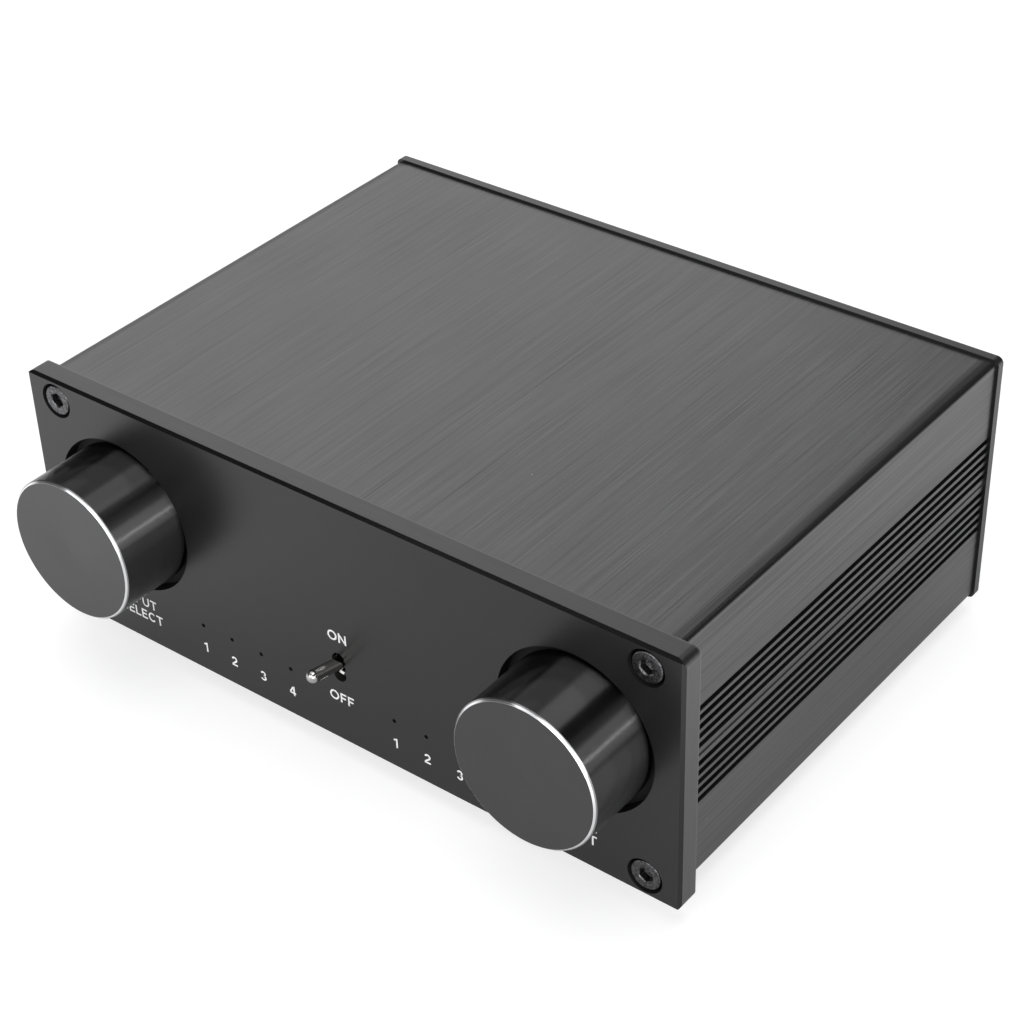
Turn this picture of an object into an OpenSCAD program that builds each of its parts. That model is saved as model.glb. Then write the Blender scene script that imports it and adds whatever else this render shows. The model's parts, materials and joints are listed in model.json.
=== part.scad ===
// Desktop audio source selector in a split extruded case: two rotary selectors,
// a power toggle, indicator lamps in front and phono sockets at the back.
// +Z is up, the front faces -Y, and the feet stand on Z = 0.

/* [Case] */
// Width of the extruded body
body_w = 163; // [158:0.5:200]
// Height of the extruded body
body_h = 61.2; // [58:0.2:76]
// Length of the extruded body from front to back
body_l = 115; // [100:1:160]
// Outer corner radius of the body
body_r = 1.25; // [1:0.25:4]
// Thickness of the top and bottom walls
wall_t = 2.2; // [1.8:0.1:2.8]
// Thickness of the side walls
side_t = 3.2; // [2.8:0.1:3.8]
// Distance of the corner screws from the outer faces of the body
screw_inset = 4.8; // [4.5:0.1:5.6]
// Radius of the screw channels in the corners
channel_r = 4; // [3.4:0.1:4.4]

/* [Side grooves and seam] */
// Number of grooves above and below the seam
groove_n = 5; // [2:1:6]
// Distance between grooves
groove_pitch = 2.29; // [2.1:0.01:2.6]
// Width of one groove
groove_w = 1.4; // [0.8:0.1:1.6]
// Depth of one groove
groove_d = 1.4; // [0.8:0.1:1.5]
// Bevel along the seam between the two halves
seam_bevel = 0.4; // [0.2:0.05:0.6]
// Height of the locating lip inside the seam
lip_h = 1.8; // [1:0.1:2.4]
// Thickness of the locating lip
lip_t = 1.1; // [0.8:0.1:1.2]

/* [Front panel] */
// Thickness of the front panel
panel_t = 5.2; // [4.8:0.1:7]
// Reach of the front panel past each side of the body
panel_over_x = 3.5; // [1:0.25:6]
// Reach of the front panel past the top and bottom of the body
panel_over_z = 0.4; // [0.2:0.1:2]
// Corner radius of the front panel
panel_r = 2; // [1:0.25:4]
// Bevel along the front edges
panel_bevel = 0.65; // [0.2:0.05:1]
// Diameter of the round recess behind each knob
recess_d = 37.2; // [35.5:0.1:38]
// Depth of the round recess
recess_depth = 3.2; // [2.6:0.1:3.4]

/* [Knobs] */
// Diameter of the knobs
knob_d = 33.5; // [26:0.5:34.5]
// Distance of the knob face in front of the panel
knob_out = 16; // [15:0.5:24]
// Depth of the knob's back end inside the recess
knob_sink = 2.2; // [1:0.1:2.3]
// Bright bevel round the knob face
knob_bevel = 0.55; // [0.3:0.05:1.2]
// Distance of each knob axis from the side of the body
knob_inset = 21.3; // [20:0.1:26]
// Height of the knob axes above mid-height
knob_rise = 2.7; // [0:0.1:5]

/* [Rotary switches] */
// Diameter of the switch shaft
shaft_d = 6; // [5:0.5:6.5]
// Diameter of the threaded bushing
bushing_d = 9; // [8.5:0.25:10]
// Width across the flats of the bushing nut
nut_af = 12; // [11.5:0.5:14]
// Thickness of the bushing nut
nut_t = 2; // [1.5:0.1:2.2]
// Diameter of the switch body
switch_d = 26; // [24:0.5:28]
// Depth of the switch body
switch_l = 9.5; // [9:0.5:14]
// Number of solder pins on each switch
switch_pins = 10; // [6:1:12]

/* [Power toggle and lamps] */
// Height of the toggle below mid-height
toggle_drop = 10.7; // [6:0.1:12]
// Width of the toggle slot
slot_w = 3.5; // [3.5:0.1:4.5]
// Height of the toggle slot
slot_h = 7.3; // [6.6:0.1:9]
// Tilt of the lever to either side of level
lever_tilt = 12.5; // [8:0.5:13]
// Length of the lever in front of its pivot
lever_l = 14.5; // [14:0.5:20]
// Diameter of the lever
lever_d = 2.9; // [2.4:0.1:2.9]
// Number of lamps beside each selector
lamp_n = 4; // [2:1:4]
// Distance of the first lamp from the toggle
lamp_first = 14.25; // [12:0.25:18]
// Room between the last lamp and the knob recess
lamp_room = 2; // [1.8:0.1:6]
// Height of the lamps below mid-height
lamp_drop = 18; // [16:0.25:20]
// Diameter of the lamp holes in the panel face
lamp_hole_d = 1; // [0.8:0.1:2]

/* [Rear panel and sockets] */
// Thickness of the rear panel
rear_t = 2; // [1.5:0.1:3]
// Reach of the rear panel past the body all round
rear_over = 0.6; // [0.2:0.1:1.5]
// Corner radius of the rear panel
rear_r = 1.5; // [0.5:0.25:4]
// Outer diameter of a phono socket sleeve
sleeve_d = 8.3; // [8:0.05:8.6]
// Length of a socket sleeve behind its collar
sleeve_out = 9; // [8:0.5:12]
// Diameter of the collar round a sleeve
collar_d = 10; // [9.6:0.1:11]
// Distance between the two socket columns of a block
jack_pitch = 14; // [13.5:0.25:14.5]
// Height of the upper socket row above mid-height, and of the lower one below it
jack_rise = 7; // [6.75:0.25:7.5]
// Depth of a socket block behind the rear panel
block_l = 12; // [10:0.5:16]
// Room from the side of the body to the first socket block
block_margin = 15; // [12:0.5:16]
// Room kept for the power socket at the other side
power_zone = 33; // [32:0.5:34]

/* [Boards and feet] */
// Thickness of the circuit boards
board_t = 1.6; // [1:0.1:1.8]
// Height of the feet
foot_h = 5; // [4:0.5:12]
// Diameter of the feet
foot_d = 16; // [14:0.5:20]
// Distance of the feet from the sides and ends of the body
foot_inset = 17; // [12:0.5:24]

/* [Hidden] */
$fn = 64;
cut = 1;                 // overrun of a cutting shape past the face it cuts
fit_gap = 0.05;          // radial gap of a screw, pin or shell in its hole
run_gap = 0.05;          // radial gap of a shaft that turns in its bore
free_gap = 0.3;          // gap between pieces that pass each other

// Overall places
jack_count = 8;
collar_out = 1;
panel_w = body_w + 2 * panel_over_x;
panel_h = body_h + 2 * panel_over_z;
rear_w = body_w + 2 * rear_over;
rear_h = body_h + 2 * rear_over;
depth = knob_out + panel_t + body_l + rear_t + collar_out + sleeve_out;
y_front = knob_out - depth / 2;
y_body = y_front + panel_t;
y_rear = y_body + body_l;
y_back = y_rear + rear_t;
z_mid = foot_h + body_h / 2;

// Corner screws
screw_x = body_w / 2 - screw_inset;
screw_z = body_h / 2 - screw_inset;
screw_r = 1.95;
screw_reach = 9;
front_head_r = 3.5;
front_head_h = 3;
front_head_sink = 0.2;
head_gap = 0.6;
rear_head_r = 3.3;
rear_head_h = 2.2;
head_bevel = 0.35;
socket_af = 3;
socket_deep = 1.7;
rear_socket_deep = 1.3;
small_socket_af = 1.6;
small_socket_deep = 1;

// Body section
hollow_r = 1.5;
rail_l = 2.5;
rail_t = 1.2;
rail_gap = 0.2;
inner_x = body_w / 2 - side_t;

// Knobs and their switches
knob_r = knob_d / 2;
knob_x = body_w / 2 - knob_inset;
knob_l = knob_out + knob_sink;
knob_face_t = 4;
knob_edge = 0.4;
nut_room = 1.5;
knob_cavity_r = nut_af / sqrt(3) + nut_room;
shaft_r = shaft_d / 2;
shaft_flat = shaft_r / 2;
washer_t = 0.5;
washer_r = nut_af / 2;
plate_t = 1.2;
bushing_r = bushing_d / 2;
bushing_proud = 0.5;
bushing_tip = recess_depth - washer_t - nut_t - bushing_proud;
tip_room = 1.6;
knob_cavity = knob_sink - bushing_tip + tip_room;
knob_bore_end = knob_l - knob_cavity;
grub_r = 1.5;
grub_l = 6;
grub_af = 1.5;
grub_at = (knob_face_t + knob_bore_end) / 2;
collar_t = 0.8;
collar_w = 1.2;
shaft_collar_r = shaft_r + collar_w;
shaft_seat = 6;
key_r = 1.2;
key_room = 5;
key_at = bushing_r + key_room;
key_l = 1.1;
switch_r = switch_d / 2;
switch_step = 1;
switch_rim = 0.6;
y_switch = y_body + plate_t;
y_board = y_switch + switch_l;
pin_r = 0.5;
pin_gap = 0.1;
pin_proud = 1.2;
switch_pin_inset = 4;
switch_pin_at = switch_r - switch_pin_inset;

// Toggle, with distances behind the panel face
slot_web = 0.8;
toggle_bush_r = 3;
toggle_bore_r = 2.3;
mouth_bevel = 0.35;
toggle_face = slot_web + free_gap;
pivot_deep = 3.9;
pivot_back = 2.8;
pivot_at = toggle_face + pivot_deep;
toggle_bush_end = max(pivot_at + pivot_back, panel_t + free_gap);
toggle_plate_t = 0.8;
toggle_w = 8;
toggle_h = 13;
toggle_cavity_r = 2.7;
toggle_cavity = 2.8;
ball_r = toggle_bore_r - 2 * run_gap;
pivot_r = 0.5;
neck_r = 1.1;
tail_r = 0.9;
tail_l = 5;
neck_share = 0.3;
taper_share = 0.36;
toggle_pin_pitch = 4.7;

// Lamps
lamp_web = 1.2;
lamp_r = 1.5;
lamp_flange_r = 1.9;
lamp_flange_t = 1;
leg_r = 0.25;
leg_pitch = 2.54;
lamp_step = (knob_x - recess_d / 2 - lamp_room - lamp_first) / (lamp_n - 1);

// Boards
board_room_x = 1;
board_room_z = 3;
board_r = 1;
front_board_w = body_w - 2 * (screw_inset + channel_r + board_room_x);
front_board_h = body_h - 2 * (wall_t + board_room_z);
block_room_x = 6.5;
block_room_z = 7;
block_w = jack_pitch + 2 * block_room_x;
block_h = 2 * (jack_rise + block_room_z);
board_top = -block_h / 2;
y_main = y_board + board_t + pin_proud + free_gap;
main_l = y_rear - free_gap - y_main;
main_w = 2 * (inner_x - free_gap);
header_n = 10;
header_pitch = 2.54;
header_at = -(knob_x - switch_r + toggle_w / 2) / 2;
header_w = header_n * header_pitch;
header_l = 2.6;
header_h = 2.6;
header_pin_w = 0.64;
header_hole_r = header_pin_w / sqrt(2) + pin_gap;
relay_w = 10;
relay_l = 15;
relay_h = 9.5;
relay_room = 6;

// Rear sockets
block_pitch = (body_w - block_margin - power_zone) / (jack_count / 2);
block_first = -body_w / 2 + block_margin + block_pitch / 2;
sleeve_r = sleeve_d / 2;
sleeve_t = 0.7;
sleeve_seat = 6;
sleeve_step = 0.4;
root_r = sleeve_r - sleeve_step;
insert_sink = 0.6;
insert_hole_r = 1.6;
collar_r = collar_d / 2;
block_screw_r = 1.45;
block_screw_l = 6;
block_head_r = 2.7;
block_head_h = 1.8;

// Power socket
power_shift = 2;
power_x = body_w / 2 - power_zone / 2 - power_shift;
power_w = 9;
power_h = 11;
power_l = 14;
power_nose_r = 4.2;
power_nose_out = 0.5;
power_nose_l = rear_t + power_nose_out;
power_bore_r = 2.9;
power_bore_l = 9.5;
power_pin_r = 1.05;
power_z = board_top + power_h / 2;
cap_r = 4;
cap_h = 12;
cap_step = 10;

// Feet
foot_x = body_w / 2 - foot_inset;
foot_r = foot_d / 2;
foot_draft = 0.8;
foot_edge = 0.6;
foot_head_r = 2.8;
foot_head_h = 1.7;
foot_head_sink = 1;
foot_screw_r = 1.45;
foot_screw_out = 1;

// Shared shapes
module rounded_rect(w, h, r) {
    square([w - 2 * r, h], center = true);
    square([w, h - 2 * r], center = true);
    for (sx = [-1, 1], sy = [-1, 1])
        translate([sx * (w / 2 - r), sy * (h / 2 - r)]) circle(r);
}

// Drawing in the front plane, about mid-height, pushed back from y
module from_front(y, len)
    translate([0, y + len, z_mid]) rotate([90, 0, 0]) linear_extrude(len) children();

// Shape standing on its own Z axis, laid along +Y (into the case)
module inward(x, y, z) translate([x, y, z_mid + z]) rotate([-90, 0, 0]) children();

// Shape standing on its own Z axis, laid along -Y (out of the front)
module outward(x, y, z) translate([x, y, z_mid + z]) rotate([90, 0, 0]) children();

module rod(x, y, z, r, len) inward(x, y, z) cylinder(r = r, h = len);

module box(x, y, z, size) translate([x - size[0] / 2, y, z_mid + z]) cube(size);

module at_corners(x, z)
    for (sx = [-1, 1], sz = [-1, 1]) translate([sx * x, sz * z]) children();

// Screw with its head face at Z = 0 and its point at +Z
module screw(head_r, head_h, r, len, af, deep) difference() {
    rotate_extrude() polygon([
        [0, 0], [head_r - head_bevel, 0], [head_r, head_bevel], [head_r, head_h], [r, head_h],
        [r, head_h + len - head_bevel], [r - head_bevel, head_h + len], [0, head_h + len]
    ]);
    translate([0, 0, -cut]) cylinder(r = af / sqrt(3), h = deep + cut, $fn = 6);
}

// Case
module side_grooves() for (side = [-1, 1]) translate([side * body_w / 2, 0]) {
    for (half = [-1, 1], i = [1 : groove_n])
        translate([0, half * i * groove_pitch]) square([2 * groove_d, groove_w], center = true);
    polygon([[seam_bevel, 0], [0, seam_bevel], [-seam_bevel, 0], [0, -seam_bevel]]);
}

module body_section() difference() {
    union() {
        difference() {
            rounded_rect(body_w, body_h, body_r);
            rounded_rect(2 * inner_x, body_h - 2 * wall_t, hollow_r);
        }
        intersection() {
            rounded_rect(body_w, body_h, body_r);
            at_corners(screw_x, screw_z) circle(channel_r);
        }
    }
    at_corners(screw_x, screw_z) circle(screw_r + fit_gap);
    side_grooves();
}

// Region of the lower half with its locating lip; with a gap, what the upper half leaves free
module lower_region(gap) {
    translate([-body_w, -body_h]) square([2 * body_w, body_h]);
    for (side = [0, 1]) mirror([side, 0])
        translate([inner_x - cut, -cut]) square([cut + lip_t + gap, cut + lip_h + gap]);
}

module board_rails() for (side = [0, 1]) mirror([side, 0]) {
    translate([inner_x - rail_l, board_top - board_t - rail_t]) square([rail_l + fit_gap, rail_t]);
    translate([inner_x - rail_l, board_top + rail_gap]) square([rail_l + fit_gap, rail_t]);
}

module upper_shell() color("#3a3a3c") from_front(y_body, body_l) difference() {
    body_section();
    lower_region(fit_gap);
}

module lower_shell() color("#3a3a3c") difference() {
    from_front(y_body, body_l) {
        intersection() { body_section(); lower_region(0); }
        board_rails();
    }
    foot_places() translate([0, 0, foot_h - cut])
        cylinder(r = foot_screw_r + fit_gap, h = wall_t + 2 * cut);
}

// Front panel
module panel_edge(h) polygon([
    [0, panel_bevel - h / 2], [panel_bevel, -h / 2], [panel_t, -h / 2],
    [panel_t, h / 2], [panel_bevel, h / 2], [0, h / 2 - panel_bevel]
]);

module panel_blank() intersection() {
    from_front(y_front, panel_t) rounded_rect(panel_w, panel_h, panel_r);
    translate([0, y_front, z_mid]) rotate([90, 0, 90])
        linear_extrude(panel_w, center = true) panel_edge(panel_h);
    translate([0, y_front, z_mid]) rotate([0, 0, 90])
        linear_extrude(panel_h, center = true) panel_edge(panel_w);
}

module toggle_slot() {
    square([slot_w, slot_h - slot_w], center = true);
    for (s = [-1, 1]) translate([0, s * (slot_h - slot_w) / 2]) circle(slot_w / 2);
}

function lamp_x(side, i) = side * (lamp_first + i * lamp_step);

module front_panel() color("#2b2b2d") difference() {
    panel_blank();
    for (side = [-1, 1]) {
        rod(side * knob_x, y_front - cut, knob_rise, recess_d / 2, recess_depth + cut);
        rod(side * knob_x, y_front, knob_rise, bushing_r + fit_gap, panel_t + cut);
        rod(side * knob_x, y_body - key_l - fit_gap, knob_rise - key_at, key_r + fit_gap, key_l + cut);
        for (i = [0 : lamp_n - 1]) {
            rod(lamp_x(side, i), y_front - cut, -lamp_drop, lamp_hole_d / 2, panel_t);
            rod(lamp_x(side, i), y_front + lamp_web, -lamp_drop, lamp_r + 2 * fit_gap, panel_t);
        }
    }
    for (sx = [-1, 1], sz = [-1, 1]) {
        rod(sx * screw_x, y_front - cut, sz * screw_z, screw_r + fit_gap, panel_t + 2 * cut);
        rod(sx * screw_x, y_front - cut, sz * screw_z, front_head_r + head_gap,
            front_head_h + front_head_sink + cut);
    }
    from_front(y_front - cut, panel_t + 2 * cut) translate([0, -toggle_drop]) toggle_slot();
    rod(0, y_front + slot_web, -toggle_drop, toggle_bush_r + free_gap, panel_t);
}

module front_panel_screws() color("#4a4a4c") for (sx = [-1, 1], sz = [-1, 1])
    inward(sx * screw_x, y_front + front_head_sink, sz * screw_z)
        screw(front_head_r, front_head_h, screw_r, screw_reach, socket_af, socket_deep);

// Knobs and rotary switches, one set on each side
module knob(side) color("#1c1c1e") difference() {
    inward(side * knob_x, y_front - knob_out, knob_rise) rotate_extrude() polygon([
        [0, 0], [knob_r - knob_bevel, 0], [knob_r, knob_bevel], [knob_r, knob_l - knob_edge],
        [knob_r - knob_edge, knob_l], [knob_cavity_r, knob_l], [knob_cavity_r, knob_bore_end],
        [shaft_r + fit_gap, knob_bore_end], [shaft_r + fit_gap, knob_face_t], [0, knob_face_t]
    ]);
    translate([side * knob_x, y_front - knob_out + grub_at, z_mid + knob_rise]) rotate([180, 0, 0])
        cylinder(r = grub_r + fit_gap, h = knob_r + cut);
}

module grub_screw(side) color("#303032")
    translate([side * knob_x, y_front - knob_out + grub_at, z_mid + knob_rise - shaft_flat])
        rotate([180, 0, 0]) difference() {
            cylinder(r = grub_r, h = grub_l);
            translate([0, 0, grub_l / 2]) cylinder(r = grub_af / sqrt(3), h = grub_l, $fn = 6);
        }

module shaft(side) color("#c9c9cc") {
    tip = y_front - knob_out + knob_face_t + free_gap;
    end = y_switch + shaft_seat - free_gap;
    difference() {
        rod(side * knob_x, tip, knob_rise, shaft_r, end - tip);
        box(side * knob_x, tip - cut, knob_rise - shaft_flat - shaft_d,
            [2 * shaft_d, y_front - knob_out + knob_bore_end - tip + cut, shaft_d]);
    }
    rod(side * knob_x, y_switch + free_gap, knob_rise, shaft_collar_r, collar_t);
}

module bushing(side) color("#b8b8ba") difference() {
    union() {
        rod(side * knob_x, y_body, knob_rise, switch_r, plate_t);
        rod(side * knob_x, y_front + bushing_tip, knob_rise, bushing_r, panel_t - bushing_tip + plate_t);
        rod(side * knob_x, y_body - key_l, knob_rise - key_at, key_r, key_l + plate_t);
    }
    rod(side * knob_x, y_front, knob_rise, shaft_r + run_gap, panel_t + plate_t + cut);
}

module switch_body(side) color("#26221e") difference() {
    union() {
        rod(side * knob_x, y_switch, knob_rise, switch_r, switch_l * switch_rim);
        rod(side * knob_x, y_switch, knob_rise, switch_r - switch_step, switch_l);
    }
    rod(side * knob_x, y_switch - cut, knob_rise, shaft_collar_r + free_gap, cut + collar_t + 2 * free_gap);
    rod(side * knob_x, y_switch - cut, knob_rise, shaft_r + run_gap, cut + shaft_seat);
}

module switch_pin_places() for (i = [0 : switch_pins - 1])
    rotate(360 * i / switch_pins) translate([switch_pin_at, 0]) children();

module pins_of_switch(side) color("#d8d0b0")
    from_front(y_board, board_t + pin_proud)
        translate([side * knob_x, knob_rise]) switch_pin_places() circle(pin_r);

module bushing_nuts() color("#c4c4c6") for (side = [-1, 1]) difference() {
    inward(side * knob_x, y_front + recess_depth - washer_t - nut_t, knob_rise)
        cylinder(r = nut_af / sqrt(3), h = nut_t, $fn = 6);
    rod(side * knob_x, y_front - cut, knob_rise, bushing_r + fit_gap, panel_t);
}

module bushing_washers() color("#d0d0d2") for (side = [-1, 1]) difference() {
    rod(side * knob_x, y_front + recess_depth - washer_t, knob_rise, washer_r, washer_t);
    rod(side * knob_x, y_front - cut, knob_rise, bushing_r + fit_gap, panel_t + cut);
}

// Power toggle: the lever's ball turns on a pin inside the bushing
module toggle_lever() color("#dcdcde")
    translate([0, y_front + pivot_at, z_mid - toggle_drop]) rotate([-lever_tilt, 0, 0]) difference() {
        rotate([90, 0, 0]) {
            tip_r = lever_d / 2;
            translate([0, 0, lever_l - tip_r]) sphere(tip_r);
            rotate_extrude() polygon([
                [0, -tail_l], [tail_r, -tail_l], [tail_r, 0], [neck_r, 0], [neck_r, lever_l * neck_share],
                [tip_r, lever_l * taper_share], [tip_r, lever_l - tip_r], [0, lever_l - tip_r]
            ]);
            sphere(ball_r);
        }
        rotate([0, 90, 0]) cylinder(r = pivot_r + run_gap, h = 4 * ball_r, center = true);
    }

module toggle_bushing() color("#cfcfd2") difference() {
    union() {
        rod(0, y_front + toggle_face, -toggle_drop, toggle_bush_r, toggle_bush_end - toggle_face);
        box(0, y_front + toggle_bush_end, -toggle_drop - toggle_h / 2,
            [toggle_w, toggle_plate_t, toggle_h]);
    }
    rod(0, y_front, -toggle_drop, toggle_bore_r, toggle_bush_end + toggle_plate_t + cut);
    inward(0, y_front + toggle_face - mouth_bevel, -toggle_drop) cylinder(
        r1 = toggle_bore_r + 2 * mouth_bevel, r2 = toggle_bore_r - cut, h = 2 * mouth_bevel + cut
    );
    translate([0, y_front + pivot_at, z_mid - toggle_drop]) rotate([0, 90, 0])
        cylinder(r = pivot_r + fit_gap / 2, h = 4 * toggle_bush_r, center = true);
}

module toggle_pivot_pin() color("#9a9a9c")
    translate([0, y_front + pivot_at, z_mid - toggle_drop]) rotate([0, 90, 0])
        cylinder(r = pivot_r, h = 2 * toggle_bush_r - free_gap, center = true);

module toggle_body() color("#7a2320") difference() {
    y0 = toggle_bush_end + toggle_plate_t;
    box(0, y_front + y0, -toggle_drop - toggle_h / 2, [toggle_w, y_board - y_front - y0, toggle_h]);
    rod(0, y_front, -toggle_drop, toggle_cavity_r, y0 + toggle_cavity);
}

module toggle_pin_places() for (i = [-1 : 1]) translate([0, i * toggle_pin_pitch - toggle_drop]) children();

module toggle_pins() color("#d8d0b0")
    from_front(y_board, board_t + pin_proud) toggle_pin_places() circle(pin_r);

// Indicator lamps with their two legs
module lamps(side) color("#e8e4d8") for (i = [0 : lamp_n - 1]) {
    x = lamp_x(side, i);
    tip = y_front + lamp_web + free_gap / 2;
    base = y_body + free_gap + lamp_flange_t;
    translate([x, tip + lamp_r, z_mid - lamp_drop]) sphere(lamp_r);
    rod(x, tip + lamp_r, -lamp_drop, lamp_r, base - tip - lamp_r);
    rod(x, base - lamp_flange_t, -lamp_drop, lamp_flange_r, lamp_flange_t);
    for (s = [-1, 1])
        rod(x + s * leg_pitch / 2, base - lamp_flange_t, -lamp_drop, leg_r,
            y_board + board_t + pin_proud - base + lamp_flange_t);
}

// Boards
module front_board() color("#1f5a36") from_front(y_board, board_t) difference() {
    rounded_rect(front_board_w, front_board_h, board_r);
    for (side = [-1, 1]) {
        translate([side * knob_x, knob_rise]) switch_pin_places() circle(pin_r + pin_gap);
        for (i = [0 : lamp_n - 1], s = [-1, 1])
            translate([lamp_x(side, i) + s * leg_pitch / 2, -lamp_drop]) circle(leg_r + pin_gap);
    }
    toggle_pin_places() circle(pin_r + pin_gap);
    for (i = [0 : header_n - 1]) translate([header_x(i), board_top + header_h / 2]) circle(header_hole_r);
}

function header_x(i) = header_at + (i - (header_n - 1) / 2) * header_pitch;

module main_board() color("#1f5a36") difference() {
    box(0, y_main, board_top - board_t, [main_w, main_l, board_t]);
    for (i = [0 : header_n - 1])
        translate([header_x(i), y_main + header_l / 2, z_mid + board_top - board_t - cut])
            cylinder(r = header_hole_r, h = board_t + 2 * cut);
}

// Square pin from the front board back over the main board, then down through it
module header_pin(x, gap) {
    w = header_pin_w + 2 * gap;
    y_tip = y_board - pin_proud;
    y_bend = y_main + header_l / 2;
    z_tip = board_top - board_t - pin_proud;
    z_bend = board_top + header_h / 2;
    box(x, y_tip, z_bend - w / 2, [w, y_bend + w / 2 - y_tip, w]);
    box(x, y_bend - w / 2, z_tip, [w, w, z_bend + w / 2 - z_tip]);
}

module board_header() color("#1a1a1c") difference() {
    box(header_at, y_main, board_top, [header_w, header_l, header_h]);
    for (i = [0 : header_n - 1]) header_pin(header_x(i), fit_gap);
}

module header_pins() color("#d8c070") for (i = [0 : header_n - 1]) header_pin(header_x(i), 0);

// Socket columns are numbered from -X: inputs first, then outputs
function jack_x(i) = block_first + floor(i / 2) * block_pitch + (i % 2 - 0.5) * jack_pitch;

module relays() color("#e4e0d2") for (i = [0 : jack_count - 1])
    box(jack_x(i), y_rear - block_l - relay_room - relay_l, board_top, [relay_w, relay_l, relay_h]);

module capacitors() color("#22304a") for (i = [0 : 2])
    translate([power_x, y_rear - power_l - relay_room - cap_r - i * cap_step, z_mid + board_top])
        rotate_extrude() polygon([
            [0, 0], [cap_r, 0], [cap_r, cap_h - head_bevel], [cap_r - head_bevel, cap_h], [0, cap_h]
        ]);

// Rear panel and its sockets
module rear_panel() color("#2b2b2d") difference() {
    from_front(y_rear, rear_t) rounded_rect(rear_w, rear_h, rear_r);
    for (sx = [-1, 1], sz = [-1, 1])
        rod(sx * screw_x, y_rear - cut, sz * screw_z, screw_r + fit_gap, rear_t + 2 * cut);
    for (i = [0 : jack_count - 1], row = [-1, 1])
        rod(jack_x(i), y_rear - cut, row * jack_rise, collar_r + fit_gap, rear_t + 2 * cut);
    for (i = [0 : jack_count / 2 - 1])
        rod(block_first + i * block_pitch, y_rear - cut, 0, block_screw_r + fit_gap, rear_t + 2 * cut);
    rod(power_x, y_rear - cut, power_z, power_nose_r + fit_gap, rear_t + 2 * cut);
}

module rear_panel_screws() color("#3c3c3e") for (sx = [-1, 1], sz = [-1, 1])
    outward(sx * screw_x, y_back + rear_head_h, sz * screw_z)
        screw(rear_head_r, rear_head_h, screw_r, screw_reach, socket_af, rear_socket_deep);

module socket_blocks() color("#18181a") for (b = [0 : jack_count / 2 - 1]) difference() {
    x = block_first + b * block_pitch;
    union() {
        translate([x, 0, 0]) from_front(y_rear - block_l, block_l) rounded_rect(block_w, block_h, board_r);
        for (s = [-1, 1], row = [-1, 1])
            rod(x + s * jack_pitch / 2, y_rear - cut, row * jack_rise, collar_r, cut + rear_t + collar_out);
    }
    for (s = [-1, 1], row = [-1, 1])
        rod(x + s * jack_pitch / 2, y_back + collar_out - sleeve_seat, row * jack_rise, root_r + fit_gap,
            sleeve_seat + cut);
    rod(x, y_rear - block_screw_l, 0, block_screw_r + fit_gap, block_screw_l + cut);
}

module socket_sleeves() color("#cfcfd2") for (i = [0 : jack_count - 1], row = [-1, 1])
    inward(jack_x(i), y_back + collar_out - sleeve_seat, row * jack_rise) rotate_extrude() polygon([
        [sleeve_r - sleeve_t, 0], [root_r, 0], [root_r, sleeve_seat], [sleeve_r, sleeve_seat],
        [sleeve_r, sleeve_seat + sleeve_out - sleeve_t / 2],
        [sleeve_r - sleeve_t / 2, sleeve_seat + sleeve_out], [sleeve_r - sleeve_t, sleeve_seat + sleeve_out]
    ]);

module inserts(row) for (i = [0 : jack_count - 1])
    inward(jack_x(i), y_back + collar_out - sleeve_seat, row * jack_rise) rotate_extrude() polygon([
        [insert_hole_r, 0], [sleeve_r - sleeve_t - fit_gap, 0],
        [sleeve_r - sleeve_t - fit_gap, sleeve_seat + sleeve_out - insert_sink],
        [insert_hole_r + insert_sink, sleeve_seat + sleeve_out - insert_sink],
        [insert_hole_r, sleeve_seat + sleeve_out - 2 * insert_sink]
    ]);

module block_screws() color("#3c3c3e") for (b = [0 : jack_count / 2 - 1])
    outward(block_first + b * block_pitch, y_back + block_head_h, 0)
        screw(block_head_r, block_head_h, block_screw_r, rear_t + block_screw_l - free_gap,
            small_socket_af, small_socket_deep);

module power_socket() color("#18181a") difference() {
    union() {
        box(power_x, y_rear - power_l, board_top, [power_w, power_l, power_h]);
        rod(power_x, y_rear - cut, power_z, power_nose_r, cut + power_nose_l);
    }
    rod(power_x, y_rear + power_nose_l - power_bore_l, power_z, power_bore_r, power_bore_l + cut);
}

module power_socket_pin() color("#d8d0b0") {
    y0 = y_rear + power_nose_l - power_bore_l;
    rod(power_x, y0, power_z, power_pin_r, power_bore_l - 2 * power_pin_r);
    translate([power_x, y0 + power_bore_l - 2 * power_pin_r, z_mid + power_z]) sphere(power_pin_r);
}

// Feet
module foot_places() for (sx = [-1, 1], y = [y_body + foot_inset, y_rear - foot_inset])
    translate([sx * foot_x, y, 0]) children();

module feet() color("#161617") foot_places() rotate_extrude() polygon([
    [foot_head_r + free_gap, 0], [foot_r - foot_draft - foot_edge, 0], [foot_r - foot_draft, foot_edge],
    [foot_r, foot_h], [foot_screw_r + fit_gap, foot_h],
    [foot_screw_r + fit_gap, foot_head_sink + foot_head_h],
    [foot_head_r + free_gap, foot_head_sink + foot_head_h]
]);

module foot_screws() color("#8a8a8c") foot_places() translate([0, 0, foot_head_sink])
    screw(foot_head_r, foot_head_h, foot_screw_r,
        foot_h - foot_head_sink - foot_head_h + wall_t + foot_screw_out, small_socket_af, small_socket_deep);

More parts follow.
